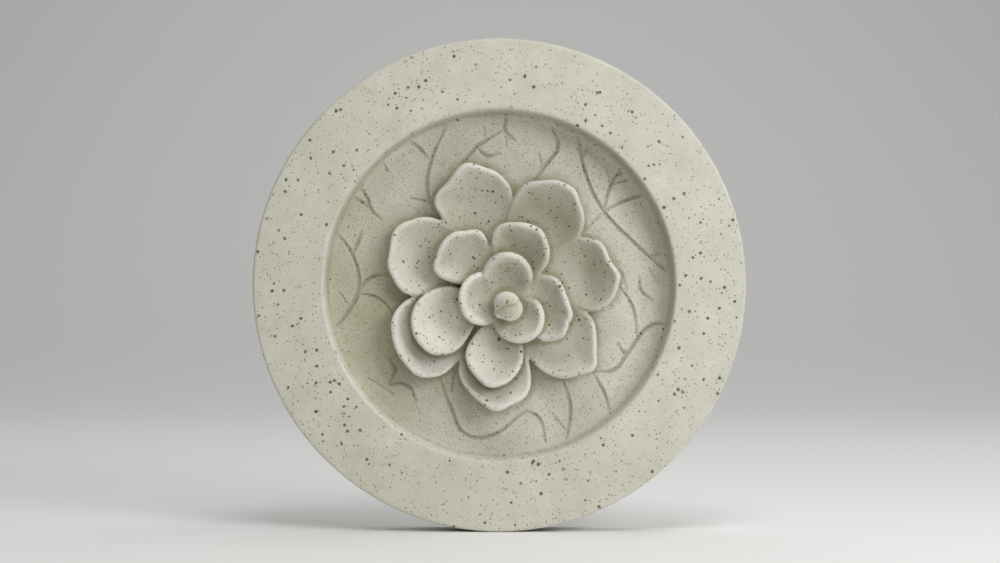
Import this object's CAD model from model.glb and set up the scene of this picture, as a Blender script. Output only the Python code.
import math

import bmesh
import bpy
import numpy as np
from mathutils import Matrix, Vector


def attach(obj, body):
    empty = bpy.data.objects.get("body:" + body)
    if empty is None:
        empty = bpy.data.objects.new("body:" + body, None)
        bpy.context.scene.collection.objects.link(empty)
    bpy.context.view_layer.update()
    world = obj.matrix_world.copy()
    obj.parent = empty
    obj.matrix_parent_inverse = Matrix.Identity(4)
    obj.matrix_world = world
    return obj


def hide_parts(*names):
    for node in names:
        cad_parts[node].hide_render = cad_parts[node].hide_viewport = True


mm = 0.001

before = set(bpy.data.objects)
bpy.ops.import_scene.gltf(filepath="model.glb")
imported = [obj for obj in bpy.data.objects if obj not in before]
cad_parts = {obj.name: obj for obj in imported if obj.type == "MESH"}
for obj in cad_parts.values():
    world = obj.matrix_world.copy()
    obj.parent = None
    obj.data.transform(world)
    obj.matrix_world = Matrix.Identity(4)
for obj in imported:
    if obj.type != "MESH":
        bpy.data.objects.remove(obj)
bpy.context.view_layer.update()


# Helpers for node trees and meshes

class Wire:
    # A value on its way through a node tree. Sums written with it become Math nodes.
    def __init__(self, socket):
        self.socket = socket

    def maths(self, operation, *others):
        node = self.socket.id_data.nodes.new("ShaderNodeMath")
        node.operation = operation
        for value, into in zip((self, *others), node.inputs):
            plug(value, into)
        return Wire(node.outputs[0])

    def __add__(self, other):
        return self.maths("ADD", other)

    def __sub__(self, other):
        return self.maths("SUBTRACT", other)

    def __rsub__(self, other):
        return self * -1 + other

    def __mul__(self, other):
        return self.maths("MULTIPLY", other)

    def __truediv__(self, other):
        return self.maths("DIVIDE", other)

    def __rtruediv__(self, other):
        return self**-1 * other

    def __pow__(self, other):
        return self.maths("POWER", other)

    __radd__ = __add__
    __rmul__ = __mul__


def plug(value, into):
    if isinstance(value, Wire):
        into.id_data.links.new(value.socket, into)
    else:
        into.default_value = value


def addNode(tree, kind, inputs=(), **settings):
    node = tree.nodes.new(kind)
    for name, value in settings.items():
        setattr(node, name, value)
    for name, value in dict(inputs).items():
        plug(value, node.inputs[name])
    return node


def result(node, name=0):
    return Wire(node.outputs[name])


def newTree(name, kind, inputs, outputs):
    tree = bpy.data.node_groups.new(name, kind)
    for label, (socketKind, value) in inputs.items():
        socket = tree.interface.new_socket(label, in_out="INPUT", socket_type="NodeSocket" + socketKind)
        if value is not None:
            socket.default_value = value
    for label, socketKind in outputs.items():
        tree.interface.new_socket(label, in_out="OUTPUT", socket_type="NodeSocket" + socketKind)
    given = tree.nodes.new("NodeGroupInput")
    return tree, lambda label: Wire(given.outputs[label])


def finishTree(tree, results):
    end = tree.nodes.new("NodeGroupOutput")
    for label, value in results.items():
        plug(value, end.inputs[label])


def runTree(obj, tree, values):
    # Inputs go in by their identifiers, before the object is first evaluated
    modifier = obj.modifiers.new(tree.name, "NODES")
    modifier.node_group = tree
    for item in tree.interface.items_tree:
        if item.item_type == "SOCKET" and item.in_out == "INPUT" and item.name in values:
            modifier[item.identifier] = values[item.name]


def namedValue(tree, name, dataType="FLOAT"):
    return result(addNode(tree, "GeometryNodeInputNamedAttribute", {"Name": name}, data_type=dataType))


def split(tree, vector):
    node = addNode(tree, "ShaderNodeSeparateXYZ", {"Vector": vector})
    return result(node, 0), result(node, 1), result(node, 2)


def join(tree, x, y, z):
    return result(addNode(tree, "ShaderNodeCombineXYZ", {"X": x, "Y": y, "Z": z}))


def newObject(name, data):
    obj = bpy.data.objects.new(name, data)
    bpy.context.scene.collection.objects.link(obj)
    return obj


def plainMesh(obj):
    # Keep what the modifiers make as an ordinary mesh
    graph = bpy.context.evaluated_depsgraph_get()
    mesh = bpy.data.meshes.new_from_object(obj.evaluated_get(graph))
    obj.modifiers.clear()
    obj.data = mesh
    mesh.name = obj.name
    return obj


def readPoints(mesh):
    points = np.empty(len(mesh.vertices) * 3)
    mesh.vertices.foreach_get("co", points)
    return points.reshape(-1, 3)


def readNormals(mesh):
    normals = np.empty(len(mesh.vertices) * 3)
    mesh.vertex_normals.foreach_get("vector", normals)
    return normals.reshape(-1, 3)


def writePoints(mesh, points):
    mesh.vertices.foreach_set("co", points.ravel())
    mesh.update()


# Camera: at the photograph's angle, straight on

view = dict(
    lens=85,
    sensor=36,
    place=(0.42 * mm, -1465 * mm, 2.18 * mm),
)

eye = bpy.data.cameras.new("Camera")
eye.lens = view["lens"]
eye.sensor_width = view["sensor"]
camera = newObject("Camera", eye)
camera.location = view["place"]
camera.rotation_euler = (math.radians(90), 0, 0)
bpy.context.scene.camera = camera
print("Camera set")


# The clay's colour and surface

clay = dict(
    bare=(0.745, 0.730, 0.660, 1),
    pooled=(0.435, 0.427, 0.300, 1),
    shade=(0.30, 0.30, 0.20, 1),
    speck=(0.055, 0.090, 0.008, 1),
    ochre=(0.400, 0.300, 0.095, 1),
    specular=0.35,
    roughness=0.80,
    speckGloss=0.12,
    cloudGloss=0.15,
    # noises over the body: scale, and how far they move the tint or darken it
    mottleScale=45,
    mottle=0.7,
    cloudScale=140,
    cloud=0.30,
    cloudShade=0.06,
    strokeShade=0.70,
    # cell, spot radius, raggedness, share of cells that hold a spot, strength
    coarse=(5.4 * mm, 1.15 * mm, 1.0 * mm, 0.95, 0.95),
    medium=(2.9 * mm, 0.78 * mm, 0.7 * mm, 1.0, 0.95),
    fine=(1.9 * mm, 0.56 * mm, 0.4 * mm, 1.0, 0.80),
    dust=(1.15 * mm, 0.36 * mm, 0.2 * mm, 1.0, 0.50),
    rust=(14 * mm, 1.6 * mm, 1.6 * mm, 0.9, 0.55),
    # in spot radii: the noise of the ragged edge, the least size, what chance adds, the solid middle
    spotNoise=0.6,
    spotLeast=0.35,
    spotSpread=0.75,
    spotSolid=0.7,
    # spots come and go in patches: noise scale, its step from size to size, contrast, least strength
    patches=(260, 90, 1.6, 0.1),
    fewerOnPetals=0.55,
    # scale and share of the two grains, and the dip at a speck
    fineGrain=(1500, 0.5),
    coarseGrain=(420, 0.9),
    speckDip=0.25,
    grainDepth=0.10 * mm,
)


def speckleGroup():
    # Ragged spots in the body, at most one in each cell
    tree, given = newTree(
        "Clay speckle",
        "ShaderNodeTree",
        {
            "Cell": ("Float", 4 * mm),
            "Radius": ("Float", 0.5 * mm),
            "Ragged": ("Float", 0.4 * mm),
            "Share": ("Float", 1.0),
            "Shift": ("Float", 0.0),
        },
        {"Mask": "Float"},
    )
    place = result(addNode(tree, "ShaderNodeTexCoord"), "Object")
    moved = result(addNode(tree, "ShaderNodeVectorMath", {0: place, 1: given("Shift")}, operation="ADD"))
    wobble = addNode(
        tree, "ShaderNodeTexNoise",
        {"Vector": moved, "Scale": clay["spotNoise"] / given("Radius"), "Detail": 2.0},
    )
    aside = addNode(
        tree, "ShaderNodeVectorMath", {0: result(wobble, "Color"), 1: (0.5, 0.5, 0.5)}, operation="SUBTRACT"
    )
    aside = addNode(
        tree, "ShaderNodeVectorMath", {0: result(aside), "Scale": given("Ragged")}, operation="SCALE"
    )
    bent = addNode(tree, "ShaderNodeVectorMath", {0: moved, 1: result(aside)}, operation="ADD")
    cells = addNode(
        tree, "ShaderNodeTexVoronoi", {"Vector": result(bent), "Scale": 1 / given("Cell")}, feature="F1"
    )
    chance, size, _ = split(tree, result(cells, "Color"))
    radius = given("Radius") * (size * size * clay["spotSpread"] + clay["spotLeast"])
    present = chance.maths("LESS_THAN", given("Share"))
    distance = result(cells, "Distance") * given("Cell")
    mask = addNode(
        tree,
        "ShaderNodeMapRange",
        {"Value": distance, "From Min": radius, "From Max": radius * clay["spotSolid"]},
        interpolation_type="SMOOTHSTEP",
    )
    finishTree(tree, {"Mask": result(mask) * present})
    return tree


def clayMaterial():
    material = bpy.data.materials.new("Speckled stoneware")
    material.use_nodes = True
    tree = material.node_tree
    shader = tree.nodes["Principled BSDF"]
    shader.inputs["Metallic"].default_value = 0.0
    shader.inputs["IOR"].default_value = 1.45
    shader.inputs["Specular IOR Level"].default_value = clay["specular"]
    group = speckleGroup()
    place = result(addNode(tree, "ShaderNodeTexCoord"), "Object")

    def noise(scale, detail, roughness=0.5):
        return result(addNode(
            tree, "ShaderNodeTexNoise",
            {"Vector": place, "Scale": scale, "Detail": detail, "Roughness": roughness},
        ))

    def mix(factor, under, over):
        node = addNode(tree, "ShaderNodeMix", data_type="RGBA", clamp_factor=True)
        plug(factor, node.inputs[0])
        plug(under, node.inputs[6])
        plug(over, node.inputs[7])
        return Wire(node.outputs[2])

    def spots(key, shift):
        cell, radius, ragged, share, strength = clay[key]
        node = addNode(tree, "ShaderNodeGroup", node_tree=group)
        for label, value in dict(Cell=cell, Radius=radius, Ragged=ragged, Share=share, Shift=shift).items():
            plug(value, node.inputs[label])
        return result(node, "Mask"), strength

    def marked(name):
        return result(addNode(tree, "ShaderNodeAttribute", attribute_name=name), "Fac")

    # Glaze pools green in the hollows, over a faintly mottled body
    pooled = marked("hollow") + (noise(clay["mottleScale"], 4, 0.6) - 0.5) * clay["mottle"]
    pooled.socket.node.use_clamp = True
    colour = mix(pooled, clay["bare"], clay["pooled"])
    colour = mix(marked("scored")**0.7 * clay["strokeShade"], colour, clay["shade"])
    cloud = noise(clay["cloudScale"], 4, 0.65)
    colour = mix((cloud - 0.5) * clay["cloud"] + clay["cloudShade"], colour, clay["shade"])
    rust, strength = spots("rust", 0.31)
    colour = mix(rust * strength, colour, clay["ochre"])
    patchScale, patchStep, contrast, least = clay["patches"]
    offPetals = 1 - marked("onPetals") * clay["fewerOnPetals"]
    specks = None
    for number, key in enumerate(("dust", "fine", "medium", "coarse")):
        mask, strength = spots(key, number * 0.07)
        fade = noise(patchScale + patchStep * number, 1) * contrast + least
        fade.socket.node.use_clamp = True
        if key in ("dust", "fine"):
            fade = fade * offPetals
        colour = mix(mask * fade * strength, colour, clay["speck"])
        specks = mask if specks is None else specks.maths("MAXIMUM", mask)
    plug(colour, shader.inputs["Base Color"])

    roughness = clay["roughness"] - specks * clay["speckGloss"] + (cloud - 0.5) * clay["cloudGloss"]
    plug(roughness, shader.inputs["Roughness"])

    # Grain of the fired clay, with a dip at each speck
    fineScale, fineShare = clay["fineGrain"]
    coarseScale, coarseShare = clay["coarseGrain"]
    grain = noise(fineScale, 3, 0.6) * fineShare + noise(coarseScale, 2) * coarseShare
    grain = grain - specks * clay["speckDip"]
    bump = addNode(
        tree, "ShaderNodeBump", {"Strength": 1.0, "Distance": clay["grainDepth"], "Height": grain}
    )
    plug(result(bump, "Normal"), shader.inputs["Normal"])
    return material


stoneware = clayMaterial()
print("Clay mixed")


# The disc, turned as one piece

disc = dict(
    diameter=300 * mm,
    thickness=32 * mm,
    fieldDiameter=217 * mm,
    fieldDepth=18 * mm,
    wallDraft=1.6 * mm,
    lipRadius=1.8 * mm,
    coveRadius=3.5 * mm,
    edgeRadius=1.5 * mm,
    turnSteps=288,
    arcSteps=8,
)
fieldLevel = disc["thickness"] - disc["fieldDepth"]


def arc(centreR, centreZ, radius, start, end):
    points = []
    for step in range(disc["arcSteps"] + 1):
        angle = math.radians(start + (end - start) * step / disc["arcSteps"])
        points.append((centreR + radius * math.cos(angle), centreZ + radius * math.sin(angle)))
    return points


def turnDisc():
    inside = disc["fieldDiameter"] / 2
    outside = disc["diameter"] / 2
    thickness, edge = disc["thickness"], disc["edgeRadius"]
    lip, cove = disc["lipRadius"], disc["coveRadius"]
    foot = inside - lip - disc["wallDraft"]
    profile = (
        [(0.0, fieldLevel)]
        + arc(foot - cove, fieldLevel + cove, cove, -90, 0)
        + arc(inside, thickness - lip, lip, 180, 90)
        + arc(outside - edge, thickness - edge, edge, 90, 0)
        + arc(outside - edge, edge, edge, 0, -90)
        + [(0.0, 0.0)]
    )
    mesh = bpy.data.meshes.new("disc")
    mesh.from_pydata(
        [(r, -z, 0.0) for r, z in profile], [(i, i + 1) for i in range(len(profile) - 1)], []
    )
    obj = newObject("disc", mesh)
    screw = obj.modifiers.new("Turned", "SCREW")
    screw.axis = "Y"
    screw.steps = screw.render_steps = disc["turnSteps"]
    screw.use_merge_vertices = True
    screw.merge_threshold = 0.01 * mm
    return plainMesh(obj)


# The rosette. Each petal has its ring, the middle of its blade, the way its tip points, its tilt,
# the reach to the tip, half width, length back to the root, and its soft corners. Lengths are
# hundredths of the rosette's reach, from its heart. A corner is degrees from the tip, the share
# by which it stands out, and its width in degrees.

rosette = dict(
    centre=(5.3 * mm, -12.7 * mm),
    reach=90 * mm,
    outlineSteps=96,
    rings=48,
    rimStart=0.92,
    rootCurl=10 * mm,
    rootTaper=0.35,
    coreRadius=24 * mm,
    coreHeight=10.5 * mm,
    bedding=2 * mm,
)

# The slab's thickness, how high it sits, how far its rim rises and its tip lifts, what is left of
# the rise at the root, and the power of the bowl's curve
petalRings = {
    "outer": dict(thick=4.0 * mm, seat=1.6 * mm, rise=6.2 * mm, lift=1.0 * mm, heel=0.2, bowl=2.0),
    "middle": dict(thick=4.2 * mm, seat=6.6 * mm, rise=7.4 * mm, lift=1.0 * mm, heel=0.2, bowl=2.2),
    "inner": dict(thick=4.4 * mm, seat=8.0 * mm, rise=8.6 * mm, lift=1.0 * mm, heel=0.1, bowl=2.2),
}

petals = {
    "outerTop": ("outer", (-23.5, 69.5), 104, 27, 22.5, 21.5, 48,
                 ((-4, 0.23, 25), (-40, 0.07, 20), (-62, 0.19, 22), (-90, 0.24, 20), (74, 0.25, 24))),
    "outerUpperRight": ("outer", (24.5, 57), 62, 31, 27.5, 26, 48,
                        ((57, 0.09, 20), (12, 0.06, 16), (-16, 0.09, 16), (-62, 0.05, 22))),
    "outerRight": ("outer", (49, 21), 8, 30, 22.5, 22.5, 46,
                   ((50, 0.14, 18), (80, 0.14, 24), (-10, 0.17, 16), (-40, 0.20, 22), (-72, 0.19, 22))),
    "outerLowerRight": ("outer", (36, -24.5), -42, 29, 24.7, 23.8, 44,
                        ((3, 0.18, 18), (84, 0.13, 22), (-45, 0.03, 20))),
    "outerBottom": ("outer", (-8, -43.5), -88, 28, 24.5, 23, 38,
                    ((-2, 0.14, 20), (52, 0.15, 26), (-90, 0.12, 26))),
    "outerLowerLeft": ("outer", (-53.6, -20.4), -150, 27, 24.5, 25.5, 40,
                       ((-60, 0.11, 24), (-95, 0.12, 24), (45, 0.12, 20), (76, 0.10, 22))),
    "outerLeft": ("outer", (-56.5, 34), 170, 10, 24.2, 26.7, 41,
                  ((-30, 0.10, 20), (24, 0.07, 16), (62, 0.09, 22), (88, 0.05, 20))),
    "middleUpperLeft": ("middle", (-31.5, 33), 140, 24, 16.8, 17, 30,
                        ((-88, 0.30, 24), (-35, 0.06, 20), (61, 0.20, 18), (86, 0.15, 18))),
    "middleTop": ("middle", (8, 36), 70, 29, 20.5, 20, 30,
                  ((62, 0.17, 24), (-25, 0.05, 16), (-80, 0.03, 24))),
    "middleRight": ("middle", (24, -2), -15, 27, 18, 18.5, 27,
                    ((0, 0.13, 16), (-38, 0.25, 20), (-70, 0.20, 22), (76, 0.12, 18), (106, 0.27, 28))),
    "middleBottom": ("middle", (-8.5, -33.5), -100, 26, 20, 19.2, 30,
                     ((0, 0.10, 22), (-82, 0.08, 26), (33, 0.03, 14))),
    "middleLowerLeft": ("middle", (-45.5, -10), -152, 29, 20, 21, 30,
                        ((47, 0.14, 28), (88, 0.09, 24), (5, 0.04, 18), (-120, 0.12, 24))),
    "innerTop": ("inner", (-0.5, 19), 90, 45, 17.7, 17.6, 17, ()),
    "innerLeft": ("inner", (-16.5, 5), 185, 42, 17.2, 18.4, 18, ((50, 0.03, 20),)),
    "innerLowerRight": ("inner", (7.5, -8), -52, 24, 17.5, 17.4, 17, ((-112, 0.07, 24),)),
}

cornerNames = ("cornerA", "cornerB", "cornerC", "cornerD", "cornerE")


def petalTree():
    tree, given = newTree(
        "Petal bowls",
        "GeometryNodeTree",
        {
            "Geometry": ("Geometry", None),
            "Outline Steps": ("Int", 64),
            "Rings": ("Int", 32),
            "Rim Start": ("Float", 0.92),
            "Root Curl": ("Float", 10 * mm),
            "Root Taper": ("Float", 0.35),
            "Field Level": ("Float", 14 * mm),
            "Clay": ("Material", None),
        },
        {"Geometry": "Geometry"},
    )
    ball = addNode(
        tree, "GeometryNodeMeshUVSphere",
        {"Segments": given("Outline Steps"), "Rings": given("Rings"), "Radius": 1.0},
    )
    place = result(tree.nodes.new("GeometryNodeInputPosition"))
    marked = addNode(
        tree, "GeometryNodeStoreNamedAttribute",
        {"Geometry": result(ball), "Name": "ball", "Value": place},
        data_type="FLOAT_VECTOR", domain="POINT",
    )
    spread = addNode(
        tree, "GeometryNodeInstanceOnPoints", {"Points": given("Geometry"), "Instance": result(marked)}
    )
    real = addNode(tree, "GeometryNodeRealizeInstances", {"Geometry": result(spread)})

    x, y, z = split(tree, namedValue(tree, "ball", "FLOAT_VECTOR"))
    centreX, centreY, turn = split(tree, namedValue(tree, "stand", "FLOAT_VECTOR"))
    tip, half, root = split(tree, namedValue(tree, "size", "FLOAT_VECTOR"))
    seat, rise, bowlPower = split(tree, namedValue(tree, "bowl", "FLOAT_VECTOR"))
    heel, lift, tilt = split(tree, namedValue(tree, "sweep", "FLOAT_VECTOR"))
    thick, _, _ = split(tree, namedValue(tree, "slab", "FLOAT_VECTOR"))

    apart = ((x * x + y * y) ** 0.5).maths("MINIMUM", 1.0)
    angle = y.maths("ARCTAN2", x)
    swell = 1
    for name in cornerNames:
        corner, share, width = split(tree, namedValue(tree, name, "FLOAT_VECTOR"))
        away = (angle - corner).maths("WRAP", math.pi, -math.pi) / width
        swell = swell + share * (away * away * -1).maths("EXPONENT")
    back = (angle.maths("COSINE") * -1).maths("MAXIMUM", 0.0)
    forward = x.maths("GREATER_THAN", 0.0)
    outX = (tip * forward + root * (1 - forward)) * angle.maths("COSINE") * swell
    outY = half * angle.maths("SINE") * swell * (1 - given("Root Taper") * back**1.5)
    reach = (outX * outX + outY * outY) ** 0.5
    # The slab's middle ends half a thickness inside the outline, and the ball's belt rolls
    # round that edge
    blade = reach - thick / 2
    awayX, awayY = outX / reach, outY / reach
    out = (apart / given("Rim Start")).maths("MINIMUM", 1.0)
    belt = (1 - given("Rim Start") ** 2) ** 0.5
    over = (z / belt).maths("MINIMUM", 1.0).maths("MAXIMUM", -1.0)
    outward = (1 - over * over).maths("MAXIMUM", 0.0) ** 0.5
    wall = rise * (heel + (1 - heel) * (1 - back) ** 2)
    tipward = angle.maths("COSINE").maths("MAXIMUM", 0.0)
    tipLift = lift * tipward * tipward
    run = blade * out
    middle = seat + wall * out**bowlPower + tipLift * out * out
    # The tilt dies away towards the root
    ahead = run * awayX
    span = (ahead * ahead + given("Root Curl") ** 2) ** 0.5
    middle = middle + tilt * (ahead + span - given("Root Curl")) / 2
    # The middle's gradient sets the way the slab's two faces and its rim look
    grade = (wall * bowlPower * out ** (bowlPower - 1) + tipLift * out * 2) / blade
    gradeX, gradeY = grade * awayX + tilt * (1 + ahead / span) / 2, grade * awayY
    gradeOut = gradeX * awayX + gradeY * awayY
    over = over * (thick / 2) / (1 + gradeX * gradeX + gradeY * gradeY) ** 0.5
    outward = outward * (thick / 2) / (1 + gradeOut * gradeOut) ** 0.5
    height = middle + over + outward * gradeOut
    along = (run + outward) * awayX - over * gradeX
    across = (run + outward) * awayY - over * gradeY
    cosTurn, sinTurn = turn.maths("COSINE"), turn.maths("SINE")
    shaped = join(
        tree,
        centreX + along * cosTurn - across * sinTurn,
        (height + given("Field Level")) * -1,
        centreY + along * sinTurn + across * cosTurn,
    )
    moved = addNode(tree, "GeometryNodeSetPosition", {"Geometry": result(real), "Position": shaped})
    coated = addNode(
        tree, "GeometryNodeSetMaterial", {"Geometry": result(moved), "Material": given("Clay")}
    )
    finishTree(tree, {"Geometry": result(coated)})
    return tree


def addPetals():
    unit = rosette["reach"] / 100
    rows = {name: [] for name in ("stand", "size", "bowl", "sweep", "slab") + cornerNames}
    for ringName, middle, turn, tilt, tip, half, root, corners in petals.values():
        ring = petalRings[ringName]
        rows["stand"].append((
            rosette["centre"][0] + middle[0] * unit,
            rosette["centre"][1] + middle[1] * unit,
            math.radians(turn),
        ))
        rows["size"].append((tip * unit, half * unit, root * unit))
        rows["bowl"].append((ring["seat"], ring["rise"], ring["bowl"]))
        rows["sweep"].append((ring["heel"], ring["lift"], math.tan(math.radians(tilt))))
        rows["slab"].append((ring["thick"], 0, 0))
        for number, name in enumerate(cornerNames):
            away, share, width = corners[number] if number < len(corners) else (0, 0, 10)
            rows[name].append((math.radians(away), share, math.radians(width)))
    mesh = bpy.data.meshes.new("petals")
    mesh.from_pydata([(0, 0, 0)] * len(petals), [], [])
    for name, values in rows.items():
        layer = mesh.attributes.new(name, "FLOAT_VECTOR", "POINT")
        layer.data.foreach_set("vector", np.array(values, dtype=float).ravel())
    obj = newObject("petals", mesh)
    runTree(obj, petalTree(), {
        "Outline Steps": rosette["outlineSteps"],
        "Rings": rosette["rings"],
        "Rim Start": rosette["rimStart"],
        "Root Curl": rosette["rootCurl"],
        "Root Taper": rosette["rootTaper"],
        "Field Level": fieldLevel,
        "Clay": stoneware,
    })
    return plainMesh(obj)


# The heart: a bud of two folded leaves and a small lip, on the core that carries the petals' roots

bud = dict(
    radius=9.1 * mm,
    top=33.5 * mm,
    segments=64,
    rings=40,
    # middle of each leaf in bud radii, its shares of the radius, its top below the bud's top
    leaves=(
        ((-0.10, 0.20), (0.88, 0.80), 0.0 * mm),
        ((0.12, -0.18), (0.88, 0.82), 0.3 * mm),
        ((-0.50, -0.42), (0.44, 0.40), 3.0 * mm),
    ),
    # the creases between them, in bud radii, and the dome they run over
    creases=(
        ((-1.02, -0.52), (-0.76, -0.34), (-0.33, -0.12), (0.15, 0.02), (0.56, 0.10), (0.74, 0.36),
         (0.70, 0.70)),
        ((-0.86, -0.62), (-0.62, -0.56), (-0.48, -0.72)),
    ),
    domeSpan=1.1,
    domeRise=0.9,
)


def eggMesh(name, x, y, radiusX, radiusY, level, above, below):
    bm = bmesh.new()
    bmesh.ops.create_uvsphere(bm, u_segments=bud["segments"], v_segments=bud["rings"], radius=1.0)
    for vert in bm.verts:
        c = vert.co
        height = level + c.z * (above if c.z > 0 else below)
        vert.co = Vector((x + c.x * radiusX, -(fieldLevel + height), y + c.y * radiusY))
    mesh = bpy.data.meshes.new(name)
    bm.to_mesh(mesh)
    bm.free()
    return newObject(name, mesh)


def addHeart():
    x, y = rosette["centre"]
    core, rise = rosette["coreRadius"], rosette["coreHeight"]
    parts = [eggMesh("core", x, y, core, core, 0.0, rise, rosette["bedding"])]
    for offset, share, drop in bud["leaves"]:
        radiusX, radiusY = bud["radius"] * share[0], bud["radius"] * share[1]
        above = (radiusX + radiusY) / 2
        level = bud["top"] - drop - above
        parts.append(eggMesh(
            "leaf", x + offset[0] * bud["radius"], y + offset[1] * bud["radius"],
            radiusX, radiusY, level, above, level - rise + rosette["bedding"],
        ))
    return parts


# One skin over every form, its creases filled as slip fills them

skin = dict(
    voxel=0.72 * mm,
    evenRounds=3,
    evenPull=0.5,
    evenPush=0.4,
    creaseRounds=14,
    creasePull=0.6,
    creaseSoftness=0.03 * mm,
    normalsEvery=4,
    triangles=192000,
)


def fuse(parts):
    bm = bmesh.new()
    for part in parts:
        bm.from_mesh(part.data)
        bpy.data.objects.remove(part, do_unlink=True)
    bmesh.ops.recalc_face_normals(bm, faces=bm.faces)
    mesh = bpy.data.meshes.new("plaqueClay")
    bm.to_mesh(mesh)
    bm.free()
    obj = newObject("plaqueClay", mesh)
    remesh = obj.modifiers.new("Skin", "REMESH")
    remesh.mode = "VOXEL"
    remesh.voxel_size = skin["voxel"]
    return plainMesh(obj)


def soften(mesh):
    edges = np.empty(len(mesh.edges) * 2, dtype=np.int32)
    mesh.edges.foreach_get("vertices", edges)
    start, end = edges.reshape(-1, 2).T
    points = readPoints(mesh)
    count = len(points)
    share = 1 / np.maximum(np.bincount(start, minlength=count) + np.bincount(end, minlength=count), 1)

    def neighbours(values):
        return np.stack([
            (np.bincount(start, v[end], count) + np.bincount(end, v[start], count)) * share
            for v in values.T
        ], axis=1)

    for step in range(skin["evenRounds"] + skin["creaseRounds"]):
        pull = neighbours(points) - points
        if step < skin["evenRounds"]:
            points = points + pull * skin["evenPull"]
            points = points + (points - neighbours(points)) * skin["evenPush"]
            writePoints(mesh, points)
            continue
        if (step - skin["evenRounds"]) % skin["normalsEvery"] == 0:
            writePoints(mesh, points)
            normals = readNormals(mesh)
        concave = np.clip((pull * normals).sum(axis=1) / skin["creaseSoftness"], 0, 1)
        points = points + pull * (concave * skin["creasePull"])[:, None]
    writePoints(mesh, points)


# Twigs scratched into the field, in hundredths of its radius from the middle of the disc

scratch = dict(
    width=1.7 * mm,
    depth=1.30 * mm,
    burr=0.22 * mm,
    burrAt=1.15,
    burrSpread=0.38,
    step=0.6 * mm,
    endPress=0.45,
    creasePress=0.6,
    undulation=0.30 * mm,
    lumps=55.0,
)

twigs = (
    ((-30, 91), (-39, 70), (-41, 57), (-38, 42)),
    ((-53, 83), (-45, 77), (-40, 71)),
    ((-67, 71), (-63, 64)),
    ((-80, 57), (-75, 49), (-73, 43), (-67, 37)),
    ((-84, 51), (-78, 47), (-74, 44)),
    ((-50, 49), (-40, 47)),
    ((-93, 31), (-83, 16), (-80, -3), (-85, -14), (-94, -26)),
    ((-78, 31), (-80, 25), (-83, 18)),
    ((-63, 6), (-73, 4), (-80, -4)),
    ((-80, -5), (-70, -7), (-59, -17)),
    ((-91, -4), (-86, -11)),
    ((-9, 90), (-8, 83)),
    ((2, 88), (-13, 78), (-23, 66)),
    ((-13, 78), (-7, 73), (0, 75)),
    ((4, 95), (3, 88), (9, 82)),
    ((3, 88), (4, 79)),
    ((30, 89), (33, 79), (26, 68), (20, 59)),
    ((22, 75), (24, 67)),
    ((44, 87), (48, 65), (58, 43), (76, 24), (97, 6)),
    ((47, 73), (50, 77)),
    ((59, 43), (63, 57), (69, 67)),
    ((63, 58), (60, 67)),
    ((63, 57), (73, 60)),
    ((66, 62), (70, 64)),
    ((59, 42), (71, 48), (84, 52)),
    ((58, 41), (49, 31)),
    ((84, 16), (91, 18)),
    ((85, 9), (90, 1)),
    ((79, 5), (80, -3), (87, -9)),
    ((69, 8), (72, -3)),
    ((68, -1), (75, -12), (78, -29)),
    ((95, -22), (86, -23), (73, -38), (65, -48), (53, -49)),
    ((67, -33), (70, -38), (73, -38)),
    ((53, -50), (59, -61), (63, -74)),
    ((36, -54), (40, -68), (38, -88)),
    ((30, -73), (38, -83)),
    ((15, -71), (22, -75), (26, -89)),
    ((-34, -52), (-27, -71), (-20, -84), (-8, -86), (15, -71)),
    ((-25, -48), (-27, -60)),
    ((-63, -41), (-59, -47), (-62, -55)),
    ((-74, -53), (-60, -62)),
    ((-62, -56), (-53, -56), (-47, -66)),
)


def scratchCurves():
    # The tool's path: the twigs on the field, and the creases over the bud
    unit = disc["fieldDiameter"] / 200
    paths = [([(x * unit, -fieldLevel, y * unit) for x, y in points], 1.0) for points in twigs]
    centreX, centreZ = rosette["centre"]
    for points in bud["creases"]:
        path = []
        for x, y in points:
            dome = math.sqrt(max(0.0, 1 - (x * x + y * y) / bud["domeSpan"]))
            height = bud["top"] - bud["radius"] * bud["domeRise"] * (1 - dome)
            path.append((
                centreX + x * bud["radius"], -(fieldLevel + height), centreZ + y * bud["radius"]
            ))
        paths.append((path, scratch["creasePress"]))
    curve = bpy.data.curves.new("twigs", "CURVE")
    curve.dimensions = "3D"
    curve.resolution_u = 12
    for path, press in paths:
        spline = curve.splines.new("BEZIER")
        spline.bezier_points.add(len(path) - 1)
        for point, place in zip(spline.bezier_points, path):
            point.co = place
            point.radius = press
            point.handle_left_type = point.handle_right_type = "AUTO"
        for end in (spline.bezier_points[0], spline.bezier_points[-1]):
            end.radius = press * scratch["endPress"]
    return newObject("twigs", curve)


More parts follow.
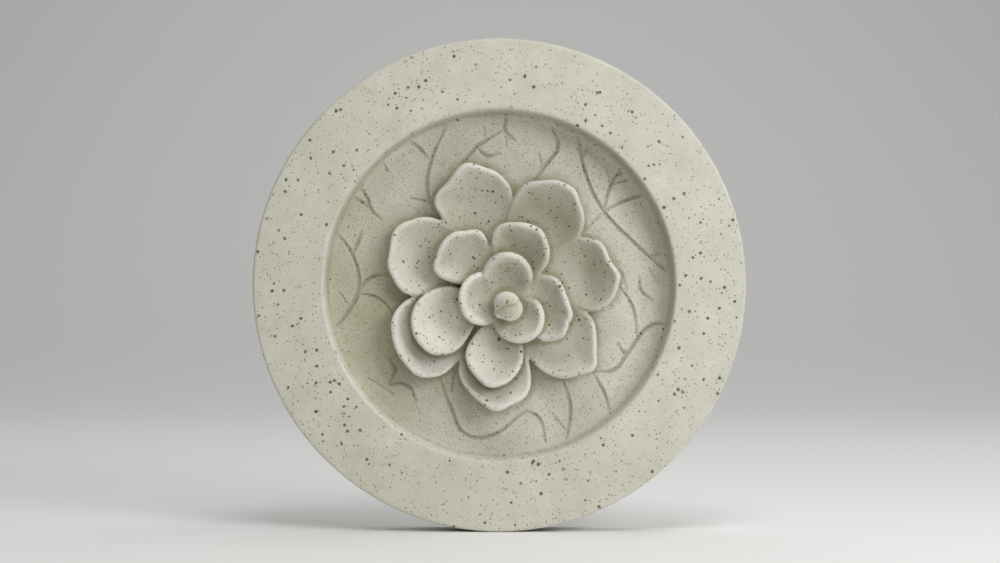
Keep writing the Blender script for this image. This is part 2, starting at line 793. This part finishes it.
def scratchTree():
    tree, given = newTree(
        "Scratched twigs",
        "GeometryNodeTree",
        {
            "Geometry": ("Geometry", None),
            "Twigs": ("Object", None),
            "Width": ("Float", 1.5 * mm),
            "Depth": ("Float", 0.8 * mm),
            "Burr": ("Float", 0.1 * mm),
            "Burr At": ("Float", 1.15),
            "Burr Spread": ("Float", 0.38),
            "Step": ("Float", 0.6 * mm),
            "Undulation": ("Float", 0.2 * mm),
            "Lumps": ("Float", 55.0),
            "Clay": ("Material", None),
        },
        {"Geometry": "Geometry"},
    )
    info = addNode(tree, "GeometryNodeObjectInfo", {"Object": given("Twigs")}, transform_space="RELATIVE")
    radius = result(tree.nodes.new("GeometryNodeInputRadius"))
    pressed = addNode(
        tree, "GeometryNodeStoreNamedAttribute",
        {"Geometry": result(info, "Geometry"), "Name": "press", "Value": radius},
        data_type="FLOAT", domain="POINT",
    )
    even = addNode(
        tree, "GeometryNodeResampleCurve", {"Curve": result(pressed), "Length": given("Step")},
        mode="LENGTH",
    )
    line = addNode(tree, "GeometryNodeCurveToMesh", {"Curve": result(even)})
    near = addNode(tree, "GeometryNodeProximity", {"Geometry": result(line)}, target_element="EDGES")
    nearest = addNode(
        tree, "GeometryNodeSampleNearest", {"Geometry": result(line)}, domain="POINT"
    )
    press = result(addNode(
        tree, "GeometryNodeSampleIndex",
        {"Geometry": result(line), "Value": namedValue(tree, "press"), "Index": result(nearest)},
        data_type="FLOAT", domain="POINT",
    ))
    distance = result(near, "Distance")
    width = given("Width") * (press * 0.5 + 0.5)
    inGroove = (1 - (distance / width) ** 2).maths("MAXIMUM", 0.0)
    groove = inGroove * inGroove * press
    burr = (distance / width - given("Burr At")) / given("Burr Spread")
    burr = (burr * burr * -1).maths("EXPONENT") * press
    place = result(tree.nodes.new("GeometryNodeInputPosition"))
    _, y, _ = split(tree, place)
    push = groove * given("Depth") - burr * given("Burr")
    # The hand's unevenness, never outside the turned form and none on the back
    lumps = result(addNode(
        tree, "ShaderNodeTexNoise", {"Scale": given("Lumps"), "Detail": 2.0, "Roughness": 0.45}
    ))
    offBack = addNode(
        tree, "ShaderNodeMapRange", {"Value": y * -1, "From Min": 1.0 * mm, "From Max": 4.0 * mm},
    )
    sink = given("Undulation") * lumps * result(offBack)
    normal = result(tree.nodes.new("GeometryNodeInputNormal"))
    into = addNode(
        tree, "ShaderNodeVectorMath", {0: normal, "Scale": (push + sink) * -1}, operation="SCALE"
    )
    scored = addNode(
        tree, "GeometryNodeStoreNamedAttribute",
        {"Geometry": given("Geometry"), "Name": "scored", "Value": groove},
        data_type="FLOAT", domain="POINT",
    )
    moved = addNode(
        tree, "GeometryNodeSetPosition", {"Geometry": result(scored), "Offset": result(into)}
    )
    coated = addNode(
        tree, "GeometryNodeSetMaterial", {"Geometry": result(moved), "Material": given("Clay")}
    )
    finishTree(tree, {"Geometry": result(coated)})
    return tree


def scratchTwigs(obj):
    curve = scratchCurves()
    runTree(obj, scratchTree(), {
        "Twigs": curve,
        "Width": scratch["width"],
        "Depth": scratch["depth"],
        "Burr": scratch["burr"],
        "Burr At": scratch["burrAt"],
        "Burr Spread": scratch["burrSpread"],
        "Step": scratch["step"],
        "Undulation": scratch["undulation"],
        "Lumps": scratch["lumps"],
        "Clay": stoneware,
    })
    plainMesh(obj)
    bpy.data.objects.remove(curve, do_unlink=True)


def thin(obj):
    # Fewer faces where the clay is plain
    triangles = sum(len(face.vertices) - 2 for face in obj.data.polygons)
    decimate = obj.modifiers.new("Thin", "DECIMATE")
    decimate.ratio = min(1.0, skin["triangles"] / triangles)
    decimate.use_collapse_triangulate = True
    plainMesh(obj)
    obj.data.shade_smooth()


# The green glaze. Amounts run from 0, bare, to 1, and slopes are their change to the right and up.

glaze = dict(
    rim=0.29,
    rimSlope=-0.05,
    rimMargin=1 * mm,
    field=0.22,
    fieldSlope=(-0.05, 0.10),
    # the pool at the left of the field: its place and spread in field radii, and its depth
    fieldPool=(-0.60, -0.20, 0.56, 0.75),
    petals=0.26,
    petalSlope=(0.16, 0.22),
    petalSpan=40 * mm,
    petalLimit=1.2,
    petalHeight=8 * mm,
    low=0.25,
    lowHeight=18 * mm,
    # blur of the height map, depth that counts as full, amount
    hollows=(8 * mm, 6 * mm, 0.6),
    creases=(4 * mm, 2.5 * mm, 1.3),
    creaseStart=0.3,
    crests=0.6,
    moreAtLeft=0.8,
    # past the petals, hollows count for this much
    byWall=0.3,
    openFrom=75 * mm,
    openSpan=20 * mm,
    bud=0.70,
    budSpan=9 * mm,
    cell=1.0 * mm,
)


def heightMap(points):
    # Highest clay in each cell of the front, and the cell of each point
    margin = 4
    cells = (points[:, [0, 2]] + disc["diameter"] / 2) / glaze["cell"] + margin
    column, row = cells.astype(int).T
    side = int(disc["diameter"] / glaze["cell"]) + 2 * margin
    heights = np.zeros((side, side))
    np.maximum.at(heights, (row, column), -points[:, 1])
    return heights, row, column


def blur(heights, reach):
    steps = int(reach / glaze["cell"])
    weights = np.exp(-np.linspace(-2, 2, 2 * steps + 1) ** 2)
    weights /= weights.sum()
    for axis in (0, 1):
        heights = np.apply_along_axis(lambda line: np.convolve(line, weights, "same"), axis, heights)
    return heights


def markHollows(mesh):
    # Where glaze pools: low on the face, and below its surroundings
    points = readPoints(mesh)
    heights, row, column = heightMap(points)
    height = -points[:, 1]
    level = height - fieldLevel
    radius = disc["fieldDiameter"] / 2
    across, up = points[:, 0] / radius, points[:, 2] / radius
    fromCentre = np.hypot(points[:, 0], points[:, 2])
    fromHeart = points[:, [0, 2]] - rosette["centre"]

    poolX, poolZ, spread, depth = glaze["fieldPool"]
    onField = glaze["field"] + across * glaze["fieldSlope"][0] + up * glaze["fieldSlope"][1]
    onField += depth * np.exp(-((across - poolX)**2 + (up - poolZ)**2) / spread**2)
    aside = np.clip(fromHeart / glaze["petalSpan"], -glaze["petalLimit"], glaze["petalLimit"])
    onPetals = glaze["petals"] + aside @ np.array(glaze["petalSlope"])
    onPetals += glaze["low"] * np.clip(1 - level / glaze["lowHeight"], 0, 1)
    raised = np.clip(level / glaze["petalHeight"], 0, 1)
    amount = onField + (onPetals - onField) * raised

    blurReach, full, inHollows = glaze["hollows"]
    below = (blur(heights, blurReach)[row, column] - height) / full
    blurReach, full, inCreases = glaze["creases"]
    crease = (blur(heights, blurReach)[row, column] - height) / full
    crease = np.clip(crease - glaze["creaseStart"], 0, 1)
    past = np.clip((fromCentre - glaze["openFrom"]) / glaze["openSpan"], 0, 1)
    inHollows = inHollows * (1 - glaze["moreAtLeft"] * across) * (1 - past) + glaze["byWall"] * past
    amount += np.where(below > 0, below**2 * inHollows, below * glaze["crests"])
    amount += crease * inCreases * (1 - past)
    amount += glaze["bud"] * np.exp(-(np.hypot(*fromHeart.T) / glaze["budSpan"])**4)

    onRim = fromCentre > radius - glaze["rimMargin"]
    amount = np.where(onRim, glaze["rim"] + across * glaze["rimSlope"], np.clip(amount, 0, 1))
    raised[onRim] = 0
    for label, values in {"hollow": amount, "onPetals": raised}.items():
        layer = mesh.attributes.new(label, "FLOAT", "POINT")
        layer.data.foreach_set("value", values)


plaque = fuse([turnDisc(), addPetals()] + addHeart())
print("Clay fused:", len(plaque.data.vertices), "points")
soften(plaque.data)
print("Creases filled")
scratchTwigs(plaque)
print("Twigs scratched")
markHollows(plaque.data)
thin(plaque)
print("Plaque:", len(plaque.data.polygons), "triangles")

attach(plaque, "root")
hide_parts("plaque")


# Studio: a pale sweep and plain soft light

studio = dict(
    width=6.0,
    front=-1.4,
    bendStart=1.2,
    bendRadius=2.5,
    bendSteps=32,
    paint=(0.90, 0.90, 0.90, 1),
    backPaint=(0.50, 0.50, 0.50, 1),
    paintFrom=-0.1,
    backPaintFrom=1.9,
    roughness=0.6,
    specular=0.2,
    air=(1.0, 0.985, 0.93, 1),
    airStrength=0.17,
    # place, what it is turned to, size, watts, colour
    lamps={
        "Key": ((0.80, -0.96, 0.48), (0, 0, 0), (0.60, 0.60), 7.4, (1.0, 0.995, 0.985)),
        "Fill": ((0.25, -0.95, 1.45), (0, 0, 0), (1.0, 0.7), 5.4, (1, 1, 1)),
        "Top": ((0.5, -0.30, 1.75), (0.1, -0.03, 0), (2.2, 0.5), 13.5, (1, 1, 1)),
        "Backdrop": ((0.0, 1.2, 2.0), (0.0, 3.0, 0.3), (2.4, 0.6), 36.5, (1, 1, 1)),
    },
)


def addSweep():
    profile = [(studio["front"], 0.0), (0.0, 0.0), (studio["bendStart"], 0.0)]
    for step in range(1, studio["bendSteps"] + 1):
        angle = math.radians(90) * step / studio["bendSteps"]
        profile.append((
            studio["bendStart"] + studio["bendRadius"] * math.sin(angle),
            studio["bendRadius"] * (1 - math.cos(angle)),
        ))
    half = studio["width"] / 2
    floor = -disc["diameter"] / 2
    verts = [(x, y, floor + z) for y, z in profile for x in (-half, half)]
    faces = [(2 * i, 2 * i + 1, 2 * i + 3, 2 * i + 2) for i in range(len(profile) - 1)]
    mesh = bpy.data.meshes.new("sweep")
    mesh.from_pydata(verts, [], faces)
    mesh.shade_smooth()
    sweep = newObject("sweep", mesh)
    mesh.materials.append(sweepPaint())


def sweepPaint():
    # Paler in front, where the light falls off towards the back
    material = bpy.data.materials.new("Sweep paint")
    material.use_nodes = True
    tree = material.node_tree
    shader = tree.nodes["Principled BSDF"]
    _, y, _ = split(tree, result(addNode(tree, "ShaderNodeTexCoord"), "Object"))
    fade = addNode(
        tree, "ShaderNodeMapRange",
        {"Value": y, "From Min": studio["backPaintFrom"], "From Max": studio["paintFrom"]},
        interpolation_type="SMOOTHSTEP",
    )
    paint = addNode(tree, "ShaderNodeMix", data_type="RGBA")
    plug(result(fade), paint.inputs[0])
    plug(studio["backPaint"], paint.inputs[6])
    plug(studio["paint"], paint.inputs[7])
    plug(Wire(paint.outputs[2]), shader.inputs["Base Color"])
    shader.inputs["Roughness"].default_value = studio["roughness"]
    shader.inputs["Specular IOR Level"].default_value = studio["specular"]
    return material


def addLamp(name, place, target, size, watts, colour):
    lamp = bpy.data.lights.new(name, "AREA")
    lamp.shape = "RECTANGLE"
    lamp.size, lamp.size_y = size
    lamp.energy = watts
    lamp.color = colour
    obj = newObject(name, lamp)
    obj.location = place
    obj.rotation_euler = (Vector(target) - Vector(place)).to_track_quat("-Z", "Y").to_euler()
    obj.visible_camera = False


addSweep()
for name, settings in studio["lamps"].items():
    addLamp(name, *settings)
world = bpy.data.worlds.new("Studio")
bpy.context.scene.world = world
world.use_nodes = True
air = world.node_tree.nodes["Background"]
air.inputs["Color"].default_value = studio["air"]
air.inputs["Strength"].default_value = studio["airStrength"]
bpy.context.scene.view_settings.view_transform = "Standard"
print("Studio lit")
